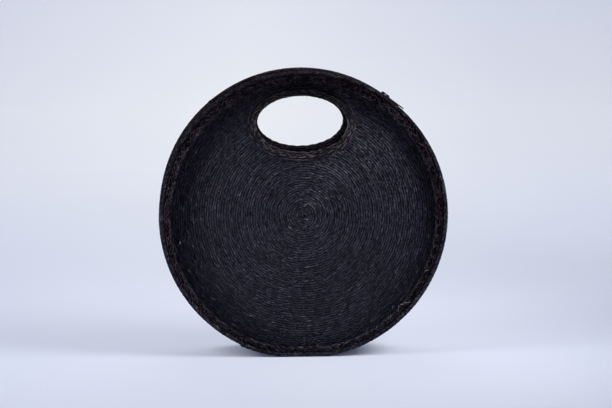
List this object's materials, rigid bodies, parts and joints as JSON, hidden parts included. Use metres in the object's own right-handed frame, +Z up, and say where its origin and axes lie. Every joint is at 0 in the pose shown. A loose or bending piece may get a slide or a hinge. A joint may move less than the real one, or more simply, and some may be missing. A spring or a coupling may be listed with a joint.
{
  "type": "round straw bag",
  "caption": "Round drum-shaped bag of coiled black straw with an oval hand hole through both faces, flared plaited rims, a zip along the top and a cotton lining.",
  "frame": {"origin": "on the floor under the middle of the bag, at the centre of the foot flat", "axes": "+Z up, +X to the right as seen from the front, front face towards -Y"},
  "size_m": [0.3, 0.07, 0.298],
  "materials": {
    "coiled_straw": "black dyed straw plait sewn in close rows, slight sheen",
    "plaited_straw": "black dyed straw in a broader plait, slightly brown",
    "cotton": "plain black cotton",
    "zip_tape": "black woven zip tape",
    "zip_teeth": "black nylon",
    "black_metal": "black lacquered metal"
  },
  "bodies": {
    "bag": {"side_band": "coiled_straw", "front_panel": "coiled_straw", "back_panel": "coiled_straw", "front_mouth_band": "coiled_straw", "back_mouth_band": "coiled_straw", "front_rim_braid": "plaited_straw", "back_rim_braid": "plaited_straw", "front_handle_trim": "plaited_straw", "back_handle_trim": "plaited_straw", "handle_sleeve": "plaited_straw", "front_lining": "cotton", "back_lining": "cotton", "side_lining": "cotton", "front_zip_tape": "zip_tape", "back_zip_tape": "zip_tape", "front_zip_teeth": "zip_teeth", "back_zip_teeth": "zip_teeth", "front_zip_stop": "black_metal", "back_zip_stop": "black_metal", "zip_end_stop": "black_metal"},
    "slider": {"zip_slider": "black_metal"},
    "pull": {"zip_pull": "black_metal"}
  },
  "joints": [
    {"name": "zip_run", "type": "hinge", "parent": "bag", "child": "slider", "pos_m": [0, 0, 0.148], "axis": [0, 1, 0], "range_deg": [-70, 0]},
    {"name": "pull_flip", "type": "hinge", "parent": "slider", "child": "pull", "pos_m": [0.0869, 0, 0.27087], "axis": [0, -1, 0], "range_deg": [0, 178]}
  ]
}
